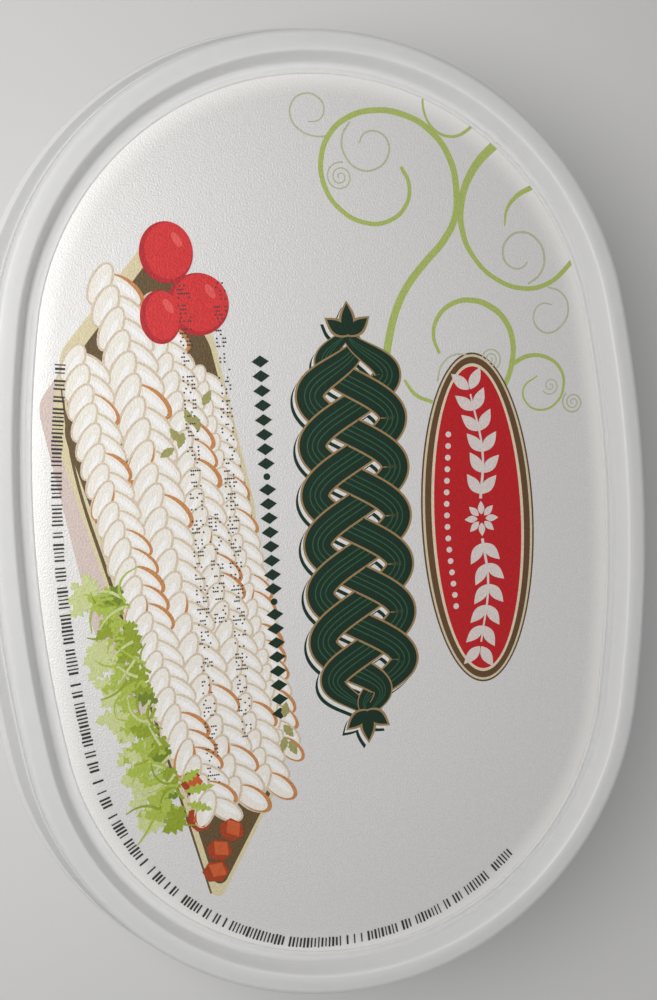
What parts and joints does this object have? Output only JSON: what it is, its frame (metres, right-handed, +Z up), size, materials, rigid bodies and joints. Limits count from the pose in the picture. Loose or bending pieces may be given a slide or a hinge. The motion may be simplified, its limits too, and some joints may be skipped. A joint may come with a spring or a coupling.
{
  "type": "lidded oval cheese tub",
  "caption": "Shut oval white plastic tub for braided cheese in brine, with a press-on lid and a printed label set in the lid.",
  "frame": {"origin": "on the table under the middle of the tub", "axes": "+X along the long axis, the way the label is read, +Y towards the label's upper edge, +Z up"},
  "size_m": [0.1646, 0.1164, 0.052],
  "materials": {
    "tub_plastic": "white polypropylene, satin gloss",
    "lid_plastic": "white polypropylene, satin gloss",
    "label_film": "pearl white printed film with a fine grain"
  },
  "bodies": {
    "root": {"tub": "tub_plastic", "lid": "lid_plastic", "label": "label_film"}
  },
  "joints": []
}
